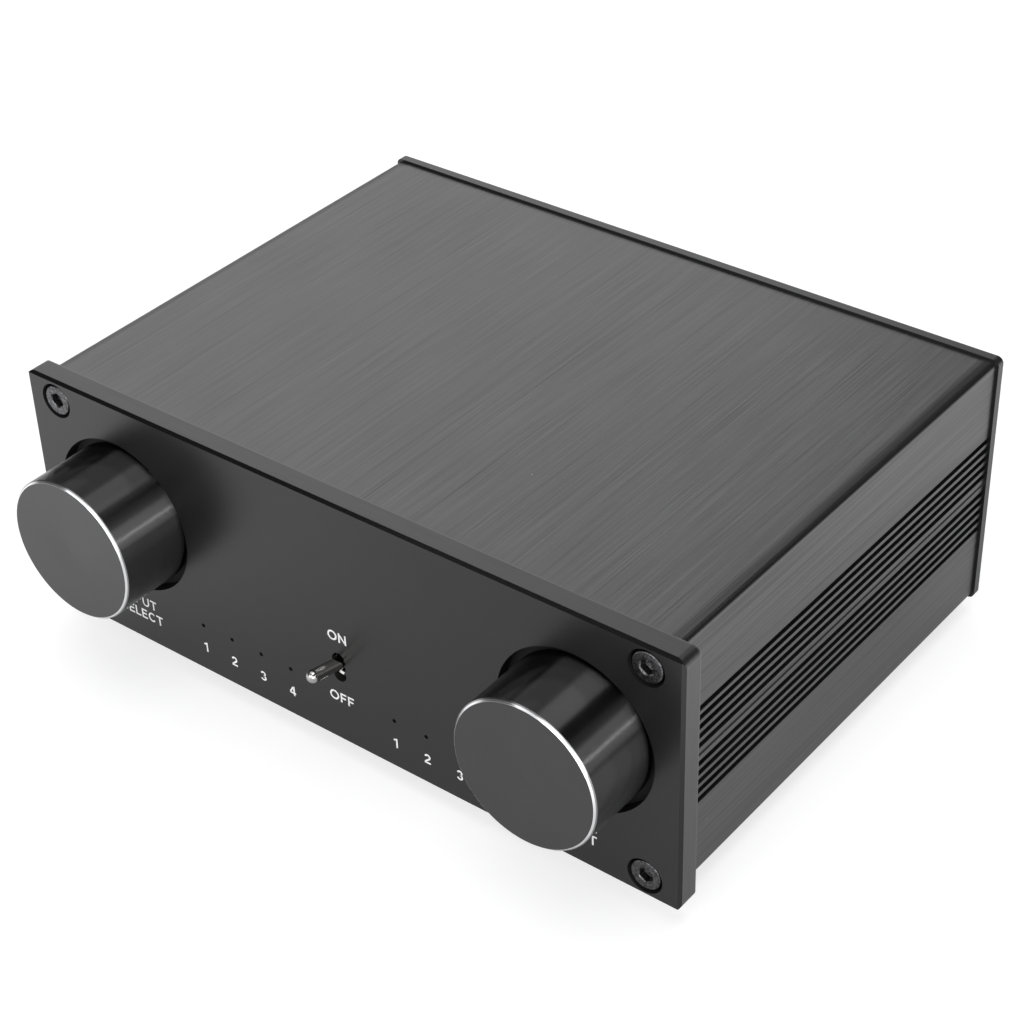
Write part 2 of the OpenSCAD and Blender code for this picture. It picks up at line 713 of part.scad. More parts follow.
upper_shell();
lower_shell();
front_panel();
rear_panel();
front_panel_screws();
rear_panel_screws();
feet();
foot_screws();
knob(-1);  // input_knob
knob(1);  // output_knob
grub_screw(-1);  // input_grub_screw
grub_screw(1);  // output_grub_screw
shaft(-1);  // input_shaft
shaft(1);  // output_shaft
bushing(-1);  // input_bushing
bushing(1);  // output_bushing
switch_body(-1);  // input_switch_body
switch_body(1);  // output_switch_body
pins_of_switch(-1);  // input_switch_pins
pins_of_switch(1);  // output_switch_pins
bushing_nuts();
bushing_washers();
toggle_lever();
toggle_bushing();
toggle_pivot_pin();
toggle_body();
toggle_pins();
lamps(-1);  // input_lamps
lamps(1);  // output_lamps
front_board();
main_board();
board_header();
header_pins();
relays();
capacitors();
socket_blocks();
socket_sleeves();
color("#e9e6de") inserts(1);  // left_inserts
color("#b3201f") inserts(-1);  // right_inserts
block_screws();
power_socket();
power_socket_pin();
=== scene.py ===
"""Looks of the audio source selector: finishes, print, screws, contacts and studio."""

import json
import math

import bmesh
import bpy
from mathutils import Matrix, Quaternion, Vector


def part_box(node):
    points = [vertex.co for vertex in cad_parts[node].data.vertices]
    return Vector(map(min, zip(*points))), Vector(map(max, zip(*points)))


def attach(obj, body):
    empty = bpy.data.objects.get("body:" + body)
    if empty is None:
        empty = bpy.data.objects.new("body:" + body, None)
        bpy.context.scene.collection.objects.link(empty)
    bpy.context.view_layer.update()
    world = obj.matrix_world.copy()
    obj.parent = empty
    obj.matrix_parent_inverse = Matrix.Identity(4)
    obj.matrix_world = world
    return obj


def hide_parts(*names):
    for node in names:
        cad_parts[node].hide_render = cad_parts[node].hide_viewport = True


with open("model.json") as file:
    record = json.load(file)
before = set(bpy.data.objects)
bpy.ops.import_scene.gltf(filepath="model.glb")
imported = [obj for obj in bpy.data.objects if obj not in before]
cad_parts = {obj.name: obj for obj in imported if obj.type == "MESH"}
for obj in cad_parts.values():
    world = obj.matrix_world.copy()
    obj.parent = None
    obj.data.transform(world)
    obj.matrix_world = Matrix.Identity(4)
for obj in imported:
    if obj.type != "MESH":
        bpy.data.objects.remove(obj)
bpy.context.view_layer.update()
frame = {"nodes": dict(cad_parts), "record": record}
MM = 0.001

# Places read from the frame
panel_lo, panel_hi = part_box("front_panel")
shell_lo, shell_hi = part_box("upper_shell")
knob_lo, knob_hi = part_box("output_knob")
rear_lo, rear_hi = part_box("rear_panel")
PANEL_Y = panel_lo.y
PANEL_FOOT = panel_lo.z
PANEL_MID = (panel_lo.z + panel_hi.z) / 2
PANEL_HALF_H = (panel_hi.z - panel_lo.z) / 2
PANEL_HALF_W = panel_hi.x
BODY_HALF_W = shell_hi.x
BODY_TOP = shell_hi.z
BODY_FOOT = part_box("lower_shell")[0].z
BODY_R = 1.25 * MM
PANEL_BEVEL = 0.65 * MM
REAR_HALF_W = rear_hi.x
REAR_HALF_H = (rear_hi.z - rear_lo.z) / 2
REAR_MID = (rear_hi.z + rear_lo.z) / 2
KNOB_X = (knob_lo.x + knob_hi.x) / 2
KNOB_Z = (knob_lo.z + knob_hi.z) / 2
KNOB_R = (knob_hi.x - knob_lo.x) / 2
KNOB_FACE = knob_lo.y
KNOB_BEVEL = 0.55 * MM


# Node trees

class Signal:
    """One output socket. Arithmetic on it adds Math nodes to its tree."""

    def __init__(self, nodes, socket):
        self.nodes = nodes
        self.socket = socket

    def other(self, name):
        """Another output of the same node."""
        return Signal(self.nodes, self.socket.node.outputs[name])

    def math(self, operation, *values):
        return self.nodes.add("ShaderNodeMath", {"operation": operation}, dict(enumerate(values)))

    def __add__(self, value):
        return self.math("ADD", self, value)

    def __sub__(self, value):
        return self.math("SUBTRACT", self, value)

    def __mul__(self, value):
        return self.math("MULTIPLY", self, value)

    def __lt__(self, value):
        return self.math("LESS_THAN", self, value)

    def __gt__(self, value):
        return self.math("GREATER_THAN", self, value)

    def __abs__(self):
        return self.math("ABSOLUTE", self)

    def __radd__(self, value):
        return self.math("ADD", value, self)

    def __rsub__(self, value):
        return self.math("SUBTRACT", value, self)

    def __rmul__(self, value):
        return self.math("MULTIPLY", value, self)


class Nodes:
    """Adds nodes to one tree: a material's, the world's or a modifier's."""

    def __init__(self, tree):
        self.tree = tree

    def add(self, kind, settings=None, inputs=None, out=0):
        """A node of this kind with its settings, then its sockets' values or links; gives one output."""
        node = self.tree.nodes.new(kind)
        for key, value in (settings or {}).items():
            if key == "stops":
                set_stops(node.color_ramp, value)
            else:
                setattr(node, key, value)
        for key, value in (inputs or {}).items():
            if isinstance(value, Signal):
                self.tree.links.new(value.socket, node.inputs[key])
            else:
                node.inputs[key].default_value = value
        return Signal(self, node.outputs[out]) if node.outputs else node

    def vector(self, operation, *values):
        return self.add("ShaderNodeVectorMath", {"operation": operation}, dict(enumerate(values)))

    def scale(self, vector, amount):
        return self.add("ShaderNodeVectorMath", {"operation": "SCALE"}, {0: vector, "Scale": amount})

    def noise(self, vector, scale, detail=2.0, roughness=0.5):
        return self.add("ShaderNodeTexNoise", None,
                        {"Vector": vector, "Scale": scale, "Detail": detail, "Roughness": roughness}, "Fac")

    def line_noise(self, value, scale, detail=1.0):
        """Noise that changes with one value only."""
        return self.add("ShaderNodeTexNoise", {"noise_dimensions": "1D"},
                        {"W": value, "Scale": scale, "Detail": detail}, "Fac")

    def blend(self, factor, low, high):
        """Colour between two others."""
        return self.add("ShaderNodeMix", {"data_type": "RGBA"}, {"Factor": factor, 6: low, 7: high}, 2)

    def between(self, factor, low, high):
        """Number between two others."""
        return self.add("ShaderNodeMix", {"data_type": "FLOAT"}, {"Factor": factor, 2: low, 3: high})

    def fade(self, value, low, high):
        """0 below low, 1 above high, smooth between."""
        return self.add("ShaderNodeMapRange", {"interpolation_type": "SMOOTHSTEP"},
                        {"Value": value, "From Min": low, "From Max": high})

    def length(self, vector):
        return self.add("ShaderNodeVectorMath", {"operation": "LENGTH"}, {0: vector}, "Value")

    def larger(self, one, other):
        return self.add("ShaderNodeMath", {"operation": "MAXIMUM"}, {0: one, 1: other})

    def tint(self, level):
        """Near-neutral colour of this brightness, a little cool."""
        cool = 1.015
        return self.add("ShaderNodeCombineColor", None,
                        {"Red": level, "Green": level, "Blue": level * cool})


def set_stops(ramp, stops):
    """Places the stops of a colour ramp, given as (place, level of grey)."""
    while len(ramp.elements) < len(stops):
        ramp.elements.new(1.0)
    for element, (place, level) in zip(ramp.elements, stops):
        element.position = place
        element.color = (level, level, level, 1)


class Paint(Nodes):
    """A material with one Principled shader."""

    def __init__(self, name):
        self.material = bpy.data.materials.new(name)
        self.material.use_nodes = True
        super().__init__(self.material.node_tree)
        self.tree.nodes.clear()
        self.shader = self.tree.nodes.new("ShaderNodeBsdfPrincipled")
        self.end = self.tree.nodes.new("ShaderNodeOutputMaterial")
        self.tree.links.new(self.shader.outputs[0], self.end.inputs["Surface"])
        self.place = self.add("ShaderNodeTexCoord", out="Object")
        split = self.add("ShaderNodeSeparateXYZ", None, {0: self.place})
        self.x, self.y, self.z = split, split.other("Y"), split.other("Z")

    def set(self, **sockets):
        """Links or sets the shader's sockets, named with _ for a space."""
        for key, value in sockets.items():
            socket = self.shader.inputs[key.replace("_", " ")]
            if isinstance(value, Signal):
                self.tree.links.new(value.socket, socket)
            else:
                socket.default_value = value
        return self.material

    def normal(self):
        return self.add("ShaderNodeNewGeometry", out="Normal")

    def tilted(self, direction, amount):
        """The surface normal leant along a direction."""
        return self.vector("NORMALIZE", self.vector("ADD", self.normal(), self.scale(direction, amount)))

    def bump(self, height, depth):
        return self.add("ShaderNodeBump", None, {"Height": height, "Distance": depth, "Strength": 1.0})

    def brush(self, cells, roughness=0.5):
        """Noise drawn out one way, with this many cells per metre along X, Y and Z."""
        return self.noise(self.vector("MULTIPLY", self.place, cells), 1, 2, roughness)

    def specks(self, pitch, share, radius):
        """Sparse dots of dust: one in some cells of this pitch, 1 inside a dot."""
        cells = self.add("ShaderNodeTexVoronoi", None, {"Vector": self.place, "Scale": 1 / pitch})
        chosen = self.add("ShaderNodeSeparateColor", None, {0: cells.other("Color")}) < share
        return chosen * (cells < radius / pitch)


# Finishes

def brushed_case():
    """Black anodised extrusion, brushed along its length; the brush rolls off at its rounded edges."""
    paint = Paint("case_anodised")
    # The last level here and the width below set a band of painted shade just behind the front panel.
    base_level, rounded_level, dust_level, crease_shade_drop = 0.126, 0.11, 0.32, 0.085
    skin, crease_shade_width = 0.1 * MM, 0.35 * MM
    roll_start, roll_end, roll_lean = -4.2 * MM, -0.9 * MM, 0.26
    hair = paint.brush((11000, 36, 11000), 0.6)
    line = paint.brush((3600, 14, 3600))
    strand = paint.brush((1300, 9, 1300))
    cloud = paint.noise(paint.place, 28, 2)
    scratch = paint.fade(line, 0.60, 0.78)
    on_side = abs(paint.x) > BODY_HALF_W - skin
    level = base_level + 0.08 * (hair - 0.5) + 0.035 * (strand - 0.5) + 0.02 * (cloud - 0.5)
    level = level - 0.055 * scratch + (0.035 + 0.145 * on_side) * (line - 0.5)
    from_ends = paint.larger(paint.z - BODY_TOP, BODY_FOOT - paint.z)
    past_side = abs(paint.x) - BODY_HALF_W
    rounded = (past_side > skin - BODY_R) * (from_ends > skin - BODY_R)
    rolled = paint.fade(past_side, roll_start, roll_end) * (from_ends > -skin / 2)
    dust = paint.specks(9 * MM, 0.10, 0.13 * MM)
    # Painted shade: the case is darkened in a thin band just behind the front panel, for the shade in the
    # crease where case and panel meet.
    painted_crease_shade = paint.y < shell_lo.y + crease_shade_width
    level = paint.between(rounded, level, rounded_level) - crease_shade_drop * painted_crease_shade
    level = paint.between(dust, level, dust_level)
    across = paint.vector("CROSS_PRODUCT", paint.normal(), (0, 1, 0))
    lean = (0.26 * (hair - 0.5) + 0.10 * (line - 0.5)) * (1 - rounded)
    side = paint.x.math("SIGN", paint.x)
    outward = paint.add("ShaderNodeCombineXYZ", None, {"X": side * rolled * roll_lean})
    rough = 0.36 + 0.10 * (strand - 0.5) - 0.08 * rounded
    return paint.set(Base_Color=paint.tint(level), Metallic=1.0, Roughness=rough,
                     Normal=paint.tilted(paint.vector("ADD", paint.scale(across, lean), outward), 1.0))


def satin_panel():
    """Black anodised plate: a satin face, smooth bevels, brushed edges, and a rough finish inside its
    holes; painted shade darkens the holes and bevels, and painted light brightens its end faces and its
    back edge.
    """
    paint = Paint("panel_anodised")
    near, recess, highlight_width = 0.02 * MM, 0.3 * MM, 0.3 * MM
    face_level, edge_level, painted_shade_level, dust_level = 0.008, 0.092, 0.003, 0.25
    face_rough, edge_rough, hole_rough, bevel_rough = 0.30, 0.36, 0.7, 0.12
    # Lifts of painted light: the first brightens the end faces, the second is a painted highlight along the
    # back edge.
    painted_end_light, highlight_lift = 0.034, 0.05
    reach = paint.larger(abs(paint.x) - PANEL_HALF_W, abs(paint.z - PANEL_MID) - PANEL_HALF_H)
    rear_reach = paint.larger(abs(paint.x) - REAR_HALF_W, abs(paint.z - REAR_MID) - REAR_HALF_H)
    in_rear = (paint.y > rear_lo.y + near) * (paint.y < rear_hi.y - near)
    rim = (reach > -1.0 * MM) * (paint.y < 0.0)
    edge = rim * (paint.y > PANEL_Y + PANEL_BEVEL - near) + in_rear * (rear_reach > -0.5 * MM)
    inside = (paint.y > PANEL_Y + recess) * (paint.y < 0.0) * (1 - rim)
    grain = paint.noise(paint.place, 9000, 2)
    cloud = paint.noise(paint.place, 60, 3)
    hair = paint.brush((60, 9000, 60), 0.6)
    dust = paint.specks(11 * MM, 0.12, 0.11 * MM) * (paint.y < PANEL_Y + near)
    face = face_level + 0.003 * (cloud - 0.5)
    # Painted highlight: a thin lighter band along the front panel's back edge.
    wear_and_sheen = rim * (paint.y > panel_hi.y - highlight_width)
    # Painted light: the panel's left and right end faces are made lighter than its top and bottom strips.
    at_end = abs(paint.x) > PANEL_HALF_W - 0.05 * MM
    brushed = edge_level + painted_end_light * at_end + 0.06 * (hair - 0.5) + highlight_lift * wear_and_sheen
    level = paint.between(edge, face, brushed)
    facing = paint.add("ShaderNodeSeparateXYZ", None, {0: paint.normal()}).other("Y")
    bevel = (facing > -0.95) * (facing < -0.3)
    # Painted shade: the inside of the holes and the front bevels are darkened towards black.
    level = paint.between(paint.larger(inside, bevel), level, painted_shade_level)
    level = paint.between(dust, level, dust_level)
    rough = paint.between(edge, face_rough + 0.06 * (cloud - 0.5), edge_rough)
    rough = paint.between(inside, rough, hole_rough)
    rough = paint.between(bevel, rough, bevel_rough)
    return paint.set(Base_Color=paint.tint(level), Metallic=edge, Roughness=rough, IOR=1.5,
                     Normal=paint.bump(grain, 0.003 * MM))


def turned_knob():
    """Turned and black anodised, with a bevel cut bright round the face; its fine turns lean seven ways."""
    paint = Paint("knob_anodised")
    near, lip = 0.02 * MM, 0.22 * MM
    side_level, face_level, dust_level, cut_level, lip_level = 0.052, 0.088, 0.3, 0.88, 0.3
    side_rough, face_rough = 0.15, 0.3
    slopes = (-0.78, -0.62, -0.47, -0.32, -0.12, 0.08, 0.3)
    side = paint.x.math("SIGN", paint.x)
    spoke = paint.add("ShaderNodeCombineXYZ", None, {
        "X": paint.x - side * KNOB_X, "Y": 0.0, "Z": paint.z - KNOB_Z})
    radius = paint.length(spoke)
    outward = paint.add("ShaderNodeVectorTransform",
                        {"vector_type": "VECTOR", "convert_from": "OBJECT", "convert_to": "WORLD"},
                        {0: paint.vector("NORMALIZE", spoke)})
    on_face = paint.y < KNOB_FACE + near
    cut = (paint.y < KNOB_FACE + KNOB_BEVEL) * (radius > KNOB_R - KNOB_BEVEL - near)
    rings = paint.line_noise(radius, 7000, 2)
    turns = paint.line_noise(paint.y, 3000, 2)
    cloud = paint.noise(paint.place, 90, 3)
    dust = paint.specks(7 * MM, 0.12, 0.11 * MM)
    level = side_level + 0.01 * (cloud - 0.5)
    level = paint.between(on_face, level, face_level + 0.02 * (rings - 0.5) + 0.012 * (cloud - 0.5))
    level = paint.between(dust, level, dust_level)
    bright = paint.between(radius > KNOB_R - lip, cut_level, lip_level)
    colour = paint.tint(paint.between(cut, level, bright))
    along = paint.add("ShaderNodeMix", {"data_type": "VECTOR"},
                      {"Factor": on_face, 4: (0.0, 1.0, 0.0), 5: outward}, 1)
    rough = paint.between(on_face, side_rough + 0.03 * (cloud - 0.5), face_rough) + 0.03 * cut
    mixed = None
    for count, slope in enumerate(slopes, 1):
        side_lean = slope + 0.06 * (turns - 0.5)
        face_lean = 0.25 * (rings - 0.5) + 0.1 * slope
        lean = paint.between(on_face, side_lean, face_lean) * (1 - cut)
        facet = paint.add("ShaderNodeBsdfPrincipled", None, {
            "Base Color": colour, "Metallic": 1.0, "Roughness": rough, "Normal": paint.tilted(along, lean)})
        if mixed:
            mixed = paint.add("ShaderNodeMixShader", None, {0: 1 / count, 1: mixed, 2: facet})
        else:
            mixed = facet
    paint.tree.links.new(mixed.socket, paint.end.inputs["Surface"])
    paint.tree.nodes.remove(paint.shader)
    return paint.material


def shaded(colour, share):
    """This share of a colour, at most white."""
    return tuple(min(share * c, 1.0) for c in colour) + (1,)


def metal(name, colour, roughness, grain, wear_and_sheen=False):
    """Plain plated or blackened metal with faint handling marks; a worn one is specked."""
    paint = Paint(name)
    cloud = paint.noise(paint.place, 400, 3)
    fine = paint.noise(paint.place, 6000, 2)
    marks, low, high = cloud, 0.85, 1.1
    if wear_and_sheen:
        marks, low, high = paint.fade(paint.noise(paint.place, 2600, 1), 0.3, 0.7), 0.45, 1.55
    tone = paint.blend(marks, shaded(colour, low), shaded(colour, high))
    return paint.set(Base_Color=tone, Metallic=1.0, Roughness=roughness + 0.12 * (cloud - 0.5),
                     Normal=paint.bump(fine, grain * MM))


def moulded(name, colour, roughness, grain):
    """Moulded plastic or rubber with a fine tool grain."""
    paint = Paint(name)
    cloud = paint.noise(paint.place, 120, 3)
    fine = paint.noise(paint.place, 5000, 2)
    tone = paint.blend(cloud, shaded(colour, 0.88), shaded(colour, 1.1))
    return paint.set(Base_Color=tone, Roughness=roughness + 0.15 * (cloud - 0.5),
                     Normal=paint.bump(fine, grain * MM))


FINISHES = {
    "case_anodised": brushed_case(),
    "panel_anodised": satin_panel(),
    "knob_anodised": turned_knob(),
    "dark_steel": metal("dark_steel", (0.105, 0.105, 0.108), 0.32, 0.018, wear_and_sheen=True),
    "foot_rubber": moulded("foot_rubber", (0.022, 0.022, 0.022), 0.8, 0.03),
    "nickel_plate": metal("nickel_plate", (0.50, 0.49, 0.475), 0.12, 0.0005),
    "switch_metal": metal("switch_metal", (0.58, 0.58, 0.58), 0.32, 0.003),
    "black_plastic": moulded("black_plastic", (0.025, 0.025, 0.027), 0.42, 0.008),
    "toggle_plastic": moulded("toggle_plastic", (0.3, 0.04, 0.035), 0.42, 0.006),
    "tinned_contact": metal("tinned_contact", (0.75, 0.7, 0.58), 0.25, 0.002),
    "lamp_lens": moulded("lamp_lens", (0.78, 0.76, 0.68), 0.2, 0.002),
    "circuit_board": moulded("circuit_board", (0.03, 0.15, 0.07), 0.35, 0.01),
    "relay_plastic": moulded("relay_plastic", (0.8, 0.78, 0.7), 0.35, 0.004),
    "capacitor_sleeve": moulded("capacitor_sleeve", (0.03, 0.05, 0.1), 0.3, 0.004),
    "white_plastic": moulded("white_plastic", (0.82, 0.81, 0.77), 0.32, 0.004),
    "red_plastic": moulded("red_plastic", (0.5, 0.03, 0.03), 0.32, 0.004),
}
LEGEND_INK = moulded("legend_ink", (0.92, 0.92, 0.92), 0.5, 0.002)

for part in frame["record"]["subparts"]:
    mesh = frame["nodes"][part["node"]].data
    mesh.materials.clear()
    mesh.materials.append(FINISHES[part["material_slot"]])


def finished_piece(name, mesh, body, slot, *nodes):
    """Puts a finished mesh in the scene, riding on its body and standing for the nodes it replaces."""
    piece = bpy.data.objects.new(name, mesh)
    bpy.context.scene.collection.objects.link(piece)
    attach(piece, body)
    if nodes:
        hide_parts(*nodes)


# Printed legends, drawn as strokes in a square of capital height

STROKE = 0.165
HALF = STROKE / 2
PRINT_T = 0.02


def bend(x, y, across, up, start, end):
    """Points of an elliptic arc, from one angle in degrees to another."""
    steps = 16
    turns = [math.radians(start + (end - start) * i / steps) for i in range(steps + 1)]
    return [(x + across * math.cos(t), y + up * math.sin(t)) for t in turns]


BOWL = (1 - STROKE) / 4
# Width of each sign, then its strokes
SIGNS = {
    "I": (STROKE, [[(HALF, 0), (HALF, 1)]]),
    "L": (0.62, [[(HALF, 1), (HALF, HALF), (0.62, HALF)]]),
    "T": (0.78, [[(0, 1 - HALF), (0.78, 1 - HALF)], [(0.39, 1 - STROKE), (0.39, 0)]]),
    "E": (0.66, [[(0.66, 1 - HALF), (HALF, 1 - HALF), (HALF, HALF), (0.66, HALF)],
                 [(STROKE, 0.52), (0.60, 0.52)]]),
    "F": (0.66, [[(0.66, 1 - HALF), (HALF, 1 - HALF), (HALF, 0)], [(STROKE, 0.5), (0.58, 0.5)]]),
    "N": (0.84, [[(HALF, 0), (HALF, 1)], [(0.84 - HALF, 0), (0.84 - HALF, 1)],
                 [(STROKE, 0.82), (0.84 - STROKE, 0.18)]]),
    "O": (1.00, [bend(0.5, 0.5, 0.5 - HALF, 0.5 - HALF, 0, 360)]),
    "C": (0.84, [bend(0.46, 0.5, 0.46 - HALF, 0.5 - HALF, 42, 318)]),
    "U": (0.80, [[(HALF, 1)] + bend(0.40, 0.40, 0.40 - HALF, 0.40 - HALF, 180, 360) + [(0.80 - HALF, 1)]]),
    "P": (0.70, [[(HALF, 0), (HALF, 1)],
                 [(STROKE, 1 - HALF)] + bend(0.41, 0.72, 0.29 - HALF, 0.28 - HALF, 90, -90)
                 + [(STROKE, 0.44 + HALF)]]),
    "S": (0.70, [bend(0.35, 1 - HALF - BOWL, 0.35 - HALF, BOWL, 20, 270)
                 + bend(0.35, HALF + BOWL, 0.35 - HALF, BOWL, 90, -160)[1:]]),
    "1": (0.40, [[(0.40 - HALF, 0), (0.40 - HALF, 1)], [(0.0, 0.76), (0.40 - STROKE, 0.88)]]),
    "2": (0.64, [bend(0.32, 0.68, 0.32 - HALF, 0.32 - HALF, 170, -35) + [(HALF, STROKE)],
                 [(0, HALF), (0.64, HALF)]]),
    "3": (0.64, [bend(0.31, 1 - HALF - BOWL, 0.29 - HALF, BOWL, 165, -90),
                 bend(0.32, HALF + BOWL, 0.32 - HALF, BOWL, 90, -165)]),
    "4": (0.68, [[(0.48, 0), (0.48, 1)], [(0, 0.28), (0.48 - HALF, 0.28)],
                 [(0.48 + HALF, 0.28), (0.68, 0.28)], [(0.06, 0.36), (0.48 - HALF, 0.92)]]),
}
SPACING = 0.16


def ribbon_sides(points):
    """Both sides of a stroke along these points, with mitred corners."""
    same, least = 1e-6, 0.4
    closed = math.dist(points[0], points[-1]) < same
    path = [Vector(p) for p in points]
    sides = []
    for i, point in enumerate(path):
        before = path[i - 1] if i else (path[-2] if closed else None)
        after = path[i + 1] if i + 1 < len(path) else (path[1] if closed else None)
        ways = [(b - a).normalized() for a, b in ((before, point), (point, after)) if a and b]
        normals = [Vector((-w.y, w.x)) for w in ways]
        lean = sum(normals, Vector((0, 0))).normalized()
        reach = HALF / max(lean.dot(normals[0]), least)
        sides.append((point + lean * reach, point - lean * reach))
    return sides, closed


def print_stroke(work, points, place):
    """Adds the faces of one stroke to the print; place gives a sign's point its place on the panel."""
    sides, closed = ribbon_sides(points)
    if closed:
        sides = sides[:-1]
    rows = [[work.verts.new(place(p)) for p in pair] for pair in sides]
    for a, b in zip(rows, rows[1:] + rows[:1] if closed else rows[1:]):
        work.faces.new((a[0], a[1], b[1], b[0]))


def print_words(work, words, x, z, height):
    """Adds a line of signs, centred on x, with capitals of this height in mm standing about z."""
    width = sum(SIGNS[s][0] for s in words) + SPACING * (len(words) - 1)
    left = -width / 2
    for sign in words:
        def place(point, left=left):
            return ((x + (left + point[0]) * height) * MM, PANEL_Y,
                    PANEL_FOOT + (z + (point[1] - 0.5) * height) * MM)
        for points in SIGNS[sign][1]:
            print_stroke(work, points, place)
        left += SIGNS[sign][0] + SPACING


def panel_legends():
    """White print on the front panel, as one thin closed mesh."""
    lamp_first, lamp_step, lamp_row = 14.25, 8.45, 7.07
    word_x, upper_row, lower_row, capital = 59.0, 11.3, 7.72, 2.5
    toggle_x, on_row, off_row = 0.05, 28.27, 12.1
    work = bmesh.new()
    print_words(work, "ON", toggle_x, on_row, capital)
    print_words(work, "OFF", toggle_x, off_row, capital)
    for i in range(4):
        print_words(work, str(i + 1), lamp_first + i * lamp_step, lamp_row, capital)
        print_words(work, str(4 - i), -lamp_first - i * lamp_step, lamp_row, capital)
    for side, word in ((-1, "INPUT"), (1, "OUTPUT")):
        print_words(work, word, side * word_x, upper_row, capital)
        print_words(work, "SELECT", side * word_x, lower_row, capital)
    skin = bmesh.ops.extrude_face_region(work, geom=work.faces[:])
    lifted = [g for g in skin["geom"] if isinstance(g, bmesh.types.BMVert)]
    bmesh.ops.translate(work, verts=lifted, vec=(0, -PRINT_T * MM, 0))
    bmesh.ops.recalc_face_normals(work, faces=work.faces[:])
    mesh = bpy.data.meshes.new("panel_legends")
    work.to_mesh(mesh)
    mesh.materials.append(LEGEND_INK)
    finished_piece("panel_legends", mesh, "case", "white_plastic")


# Copies on a grid

def grid_of_copies():
    """Tree that sets copies of a piece on an upright grid of columns and rows."""
    tree = bpy.data.node_groups.new("grid_of_copies", "GeometryNodeTree")
    for name, kind in (("Piece", "Geometry"), ("Across", "Float"), ("Up", "Float"),
                       ("Columns", "Int"), ("Rows", "Int"), ("Finish", "Material")):
        tree.interface.new_socket(name=name, in_out="INPUT", socket_type="NodeSocket" + kind)
    tree.interface.new_socket(name="Copies", in_out="OUTPUT", socket_type="NodeSocketGeometry")
    nodes = Nodes(tree)
    given = nodes.add("NodeGroupInput")
    grid = nodes.add("GeometryNodeMeshGrid", None, {
        "Size X": given.other("Across"), "Size Y": given.other("Up"),
        "Vertices X": given.other("Columns"), "Vertices Y": given.other("Rows")})
    upright = nodes.add("GeometryNodeTransform", None, {"Geometry": grid, "Rotation": (math.pi / 2, 0, 0)})
    copies = nodes.add("GeometryNodeInstanceOnPoints", None, {"Points": upright, "Instance": given})
    real = nodes.add("GeometryNodeRealizeInstances", None, {"Geometry": copies})
    done = nodes.add("GeometryNodeSetMaterial", None, {"Geometry": real, "Material": given.other("Finish")})
    nodes.add("NodeGroupOutput", None, {"Copies": done})
    return tree


COPIES = grid_of_copies()


def copies_of(mesh, name, grids, finish, place):
    """Mesh of a piece copied by each grid (across, up, columns, rows) in turn, then put in its place."""
    maker = bpy.data.objects.new(name, mesh)
    bpy.context.scene.collection.objects.link(maker)
    keys = {item.name: item.identifier for item in COPIES.interface.items_tree if item.in_out == "INPUT"}
    for across, up, columns, rows in grids:
        step = maker.modifiers.new("copies", "NODES")
        step.node_group = COPIES
        for key, value in (("Across", across), ("Up", up), ("Columns", columns), ("Rows", rows),
                           ("Finish", finish)):
            step[keys[key]] = value
    result = bpy.data.meshes.new_from_object(maker.evaluated_get(bpy.context.evaluated_depsgraph_get()))
    bpy.data.objects.remove(maker)
    result.name = name
    result.transform(place)
    return result


def turned_mesh(name, rings, sides):
    """Closed mesh along +Y from rings of (y, radius); a radius may follow the angle, or be 0 at an end."""
    work = bmesh.new()
    rows = []
    for y, radius in rings:
        size = radius if callable(radius) else lambda turn, fixed=radius: fixed
        turns = [0.0] if radius == 0 else [math.tau * i / sides for i in range(sides)]
        rows.append([work.verts.new((size(t) * math.cos(t), y, size(t) * math.sin(t))) for t in turns])
    for low, high in zip(rows, rows[1:]):
        for i in range(sides):
            j = (i + 1) % sides
            corners = [low[i % len(low)], low[j % len(low)], high[j % len(high)], high[i % len(high)]]
            work.faces.new(list(dict.fromkeys(corners)))
    bmesh.ops.recalc_face_normals(work, faces=work.faces[:])
    mesh = bpy.data.meshes.new(name)
    work.to_mesh(mesh)
    mesh.transform(Matrix.Scale(MM, 4))
    mesh.shade_smooth()
    mesh.set_sharp_from_angle(angle=math.radians(32))
    return mesh


def socket_screw(head_r, head_h, shank_r, length, flats, deep):
    """Socket-head screw in mm: knurled head, its face at Y = 0, then a threaded shank of this length."""
    sides, rings_per_turn = 48, 5
    rim, bevel, knurl, pitch, thread = 0.22, 0.35, 0.09, 0.5, 0.18
    cone, land, edge, neck, taper, point = 0.2, 0.15, 0.2, 0.5, 0.3, 0.5

    def hexagon(turn):
        return flats / 2 / math.cos((turn + math.pi / 6) % (math.pi / 3) - math.pi / 6)

    def knurled(turn):
        return head_r - knurl * (round(turn * sides / math.tau) % 2)

    def threaded(y):
        def radius(turn):
            wave = (y / pitch - turn / math.tau) % 1.0
            return shank_r - thread * abs(2 * wave - 1)
        return radius

    mouth = flats / math.sqrt(3) + rim / 2
    rings = [(deep + cone * flats, 0), (deep, hexagon), (rim, hexagon), (0.0, mouth), (0.0, head_r - bevel)]
    rings += [(bevel * (1 - math.cos(t)), head_r - bevel * (1 - math.sin(t))) for t in (0.4, 0.8, 1.2)]
    rings += [(bevel, head_r), (bevel + land, head_r), (bevel + edge, knurled), (head_h - edge, knurled)]
    rings += [(head_h, head_r - edge), (head_h, shank_r - thread)]
    count = round((length - 2 * neck) / (pitch / rings_per_turn))
    for i in range(count):
        down = i * pitch / rings_per_turn
        rings.append((head_h + neck + down, threaded(down)))
    end = head_h + length
    rings += [(end - taper, shank_r - thread), (end, shank_r - point), (end, 0)]
    return turned_mesh("screw", rings, sides)


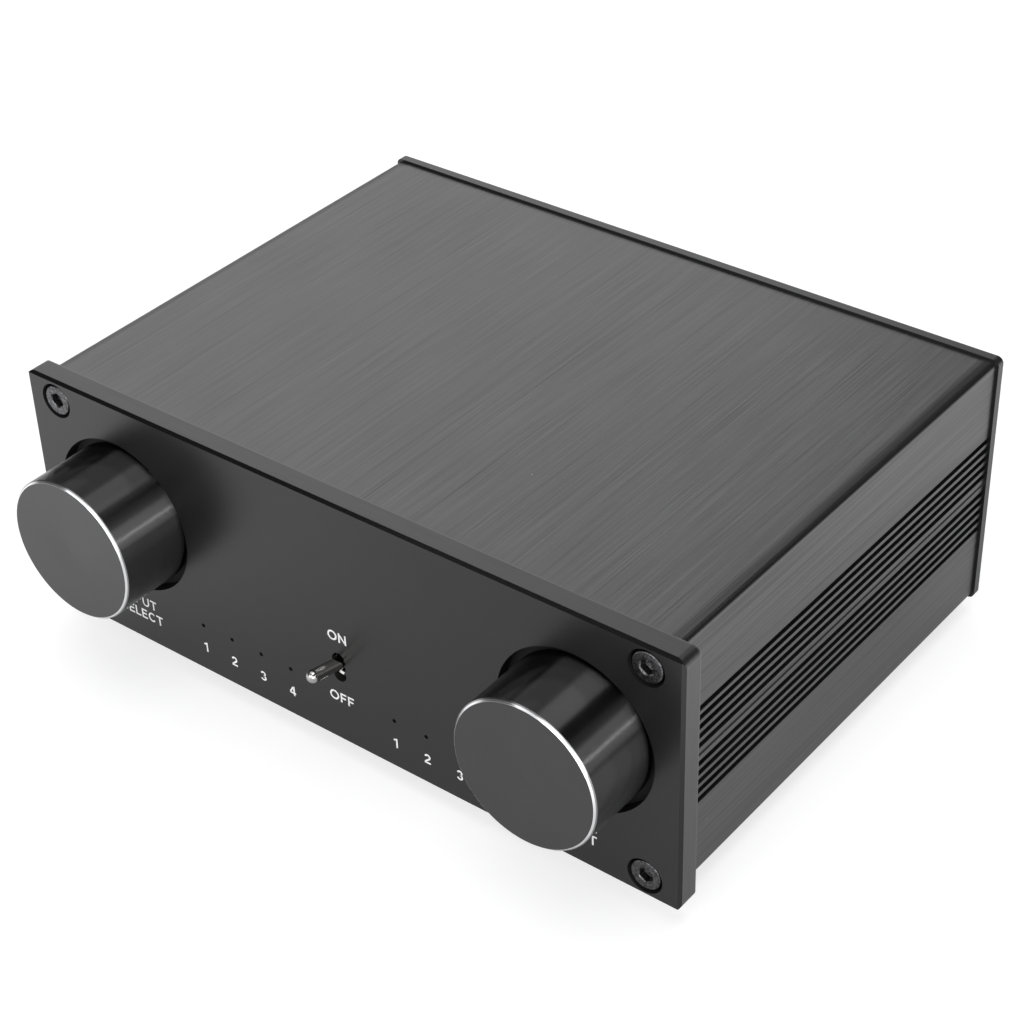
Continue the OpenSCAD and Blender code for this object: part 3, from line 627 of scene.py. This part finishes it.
def screw_set(node, head_r, head_h, shank_r, flats, deep, columns, rows, turn):
    """Screws that stand for a node's; sizes in mm, and turn takes -Y to the way the heads face."""
    low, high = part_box(node)
    size = turn.inverted() @ (high - low)
    size = Vector(abs(c) for c in size)
    screw = socket_screw(head_r, head_h, shank_r, size.y / MM - head_h, flats, deep)
    middle = (low + high) / 2 + turn @ Vector((0, -size.y / 2, 0))
    across = size.x - 2 * head_r * MM
    up = size.z - 2 * head_r * MM if rows > 1 else 0.0
    mesh = copies_of(screw, node, [(across, up, columns, rows)], FINISHES["dark_steel"],
                     Matrix.Translation(middle) @ turn.to_4x4())
    finished_piece("socket_" + node, mesh, "case", "dark_steel", node)


def all_screws():
    """The four kinds of socket-head screws that hold the case together."""
    forward = Matrix.Identity(3)
    backward = Matrix.Rotation(math.pi, 3, "Z")
    downward = Matrix.Rotation(math.pi / 2, 3, "X")
    # Node, head radius and height, shank radius, hex width and depth, columns, rows, way the heads face
    for screws in (("front_panel_screws", 3.5, 3.0, 1.95, 3.0, 1.7, 2, 2, forward),
                   ("rear_panel_screws", 3.3, 2.2, 1.95, 3.0, 1.3, 2, 2, backward),
                   ("block_screws", 2.7, 1.8, 1.45, 1.6, 1.0, 4, 1, backward),
                   ("foot_screws", 2.8, 1.7, 1.45, 1.6, 1.0, 2, 2, downward)):
        screw_set(*screws)


def socket_contacts():
    """Split spring sleeve in the middle of each phono socket."""
    outer, inner, length, sides = 1.5, 1.22, 11.0, 24
    sleeve_r, columns, pitch, sink = 4.15, 4, 14.0, 1.3
    slit, spare = 0.06, 0.05
    springs = ((0.0, 0.1), (0.35, -0.12), (1.6, -0.2), (4.0, 0.0), (length, 0.0))
    low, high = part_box("socket_sleeves")
    work = bmesh.new()
    for half in range(2):
        rows = []
        for y, flare in springs:
            row = []
            for i in range(sides // 2 + 1):
                turn = math.pi * (half + slit + (1 - 2 * slit) * i / (sides // 2))
                for r in (outer, inner):
                    size = r + min(flare, outer + spare - r)
                    row.append(work.verts.new((size * math.cos(turn), -y, size * math.sin(turn))))
            rows.append(row)
        for near, far in zip(rows, rows[1:]):
            for i in range(0, len(near) - 2, 2):
                work.faces.new((near[i], near[i + 2], far[i + 2], far[i]))
                work.faces.new((near[i + 1], far[i + 1], far[i + 3], near[i + 3]))
            for i in (0, len(near) - 2):
                work.faces.new((near[i], near[i + 1], far[i + 1], far[i]))
        for end in (rows[0], rows[-1]):
            for i in range(0, len(end) - 2, 2):
                work.faces.new((end[i], end[i + 1], end[i + 3], end[i + 2]))
    bmesh.ops.recalc_face_normals(work, faces=work.faces[:])
    sleeve = bpy.data.meshes.new("contact")
    work.to_mesh(sleeve)
    sleeve.transform(Matrix.Scale(MM, 4))
    sleeve.shade_smooth()
    sleeve.set_sharp_from_angle(angle=math.radians(40))
    inside = 2 * sleeve_r * MM
    block_span = high.x - low.x - inside - pitch * MM
    middle = Vector(((low.x + high.x) / 2, high.y - sink * MM, (low.z + high.z) / 2))
    grids = [(pitch * MM, high.z - low.z - inside, 2, 2), (block_span, 0.0, columns, 1)]
    finish = FINISHES["tinned_contact"]
    mesh = copies_of(sleeve, "socket_contacts", grids, finish, Matrix.Translation(middle))
    finished_piece("socket_contacts", mesh, "case", "tinned_contact")


panel_legends()
all_screws()
socket_contacts()


# Studio

def studio_floor():
    """Pale floor that stays white away from the object's shadow; its shine changes a little across it."""
    half = 12.0
    near_glow, far_glow, near_edge, far_edge = 0.66, 1.0, 0.35, 1.0
    mesh = bpy.data.meshes.new("studio_floor")
    corners = [(-half, -half, 0), (half, -half, 0), (half, half, 0), (-half, half, 0)]
    mesh.from_pydata(corners, [], [(0, 1, 2, 3)])
    floor = bpy.data.objects.new("studio_floor", mesh)
    bpy.context.scene.collection.objects.link(floor)
    paint = Paint("studio_floor")
    paint.set(Base_Color=(0.45, 0.45, 0.4545, 1), Roughness=0.9, Specular_IOR_Level=0.0)
    seen = paint.add("ShaderNodeLightPath", out="Is Camera Ray")
    mirrored = paint.larger(seen.other("Is Glossy Ray"), seen.other("Is Transmission Ray"))
    shine = 0.75 - 0.43 * paint.fade(paint.x, -0.16, 0.0) + 0.50 * paint.fade(paint.x, 0.10, 0.17)
    shine = shine - 0.08 * paint.fade(paint.y, -0.11, -0.065) + 0.14 * paint.fade(paint.y, 0.03, 0.15)
    away = paint.fade(paint.length(paint.place), near_edge, far_edge)
    pale = paint.between(away, near_glow, far_glow)
    glow = paint.add("ShaderNodeEmission", None, {"Strength": seen * pale + mirrored * shine})
    both = paint.add("ShaderNodeAddShader", None, {0: Signal(paint, paint.shader.outputs[0]), 1: glow})
    paint.tree.links.new(both.socket, paint.end.inputs["Surface"])
    mesh.materials.append(paint.material)


def studio_world():
    """Dim room, lighter near the horizon and white where the camera looks straight at it."""
    world = bpy.data.worlds.new("studio_world")
    world.use_nodes = True
    bpy.context.scene.world = world
    nodes = Nodes(world.node_tree)
    way = nodes.add("ShaderNodeTexCoord", out="Generated")
    height = nodes.add("ShaderNodeSeparateXYZ", None, {0: way}).other("Z")
    stops = [(0.0, 1.0), (0.03, 0.7), (0.1, 0.14), (0.3, 0.10), (1.0, 0.10)]
    ramp = nodes.add("ShaderNodeValToRGB", {"stops": stops}, {0: height})
    seen = nodes.add("ShaderNodeLightPath", out="Is Camera Ray")
    room = nodes.blend(seen, ramp, (1, 1, 1, 1))
    world.node_tree.links.new(room.socket, world.node_tree.nodes["Background"].inputs["Color"])


def softbox(name, azimuth, elevation, distance, width, height, radiance, roll=0):
    """Soft lamp aimed at the object. Azimuth 0 is behind the object, 90 at its right; angles in degrees."""
    lamp = bpy.data.lights.new(name, "AREA")
    lamp.shape = "RECTANGLE"
    lamp.size = width
    lamp.size_y = height
    lamp.energy = radiance * math.pi * width * height
    turn, lift = math.radians(azimuth), math.radians(elevation)
    way = Vector((math.sin(turn) * math.cos(lift), math.cos(turn) * math.cos(lift), math.sin(lift)))
    stand = bpy.data.objects.new(name, lamp)
    stand.location = way * distance
    stand.rotation_mode = "QUATERNION"
    stand.rotation_quaternion = way.to_track_quat("Z", "Y") @ Quaternion((0, 0, 1), math.radians(roll))
    bpy.context.scene.collection.objects.link(stand)


def photo_camera():
    """Camera at the photograph's place, solved from the case's straight edges."""
    camera = bpy.data.cameras.new("camera")
    camera.sensor_width = 36.0
    camera.lens = 83.066
    camera.shift_x = 0.03
    camera.shift_y = 0.025
    camera.clip_start = 0.01
    stand = bpy.data.objects.new("camera", camera)
    stand.location = Vector((265.019, -328.860, 331.337)) * MM
    aim = Vector((-16.936, 9.632, 10.480)) * MM
    roll = Quaternion((0, 0, 1), math.radians(-2.497))
    stand.rotation_mode = "QUATERNION"
    stand.rotation_quaternion = (aim - stand.location).to_track_quat("-Z", "Y") @ roll
    bpy.context.scene.collection.objects.link(stand)
    bpy.context.scene.camera = stand


studio_floor()
studio_world()
# Name, azimuth, elevation, distance, width, height, radiance, roll
for lamp in (("back_left_softbox", -50, 30, 1.6, 1.5, 0.9, 1.26),
             ("top_softbox_wide", -90, 82, 1.4, 1.6, 1.8, 0.9),
             ("top_softbox", 90, 81, 1.38, 1.5, 0.7, 1.6),
             ("right_softbox", 110, 20, 1.3, 1.7, 0.64, 2.1, 11),
             ("right_strip", 110, 18, 1.2, 1.5, 0.03, 14.0, 11),
             ("front_right_softbox", 148, 17, 1.3, 0.75, 0.85, 2.0),
             ("front_high_softbox", 168, 39, 1.3, 0.5, 0.35, 2.2),
             ("front_softbox", 192, 22, 1.4, 1.2, 0.9, 1.9)):
    softbox(*lamp)
photo_camera()
bpy.context.scene.view_settings.view_transform = "Standard"
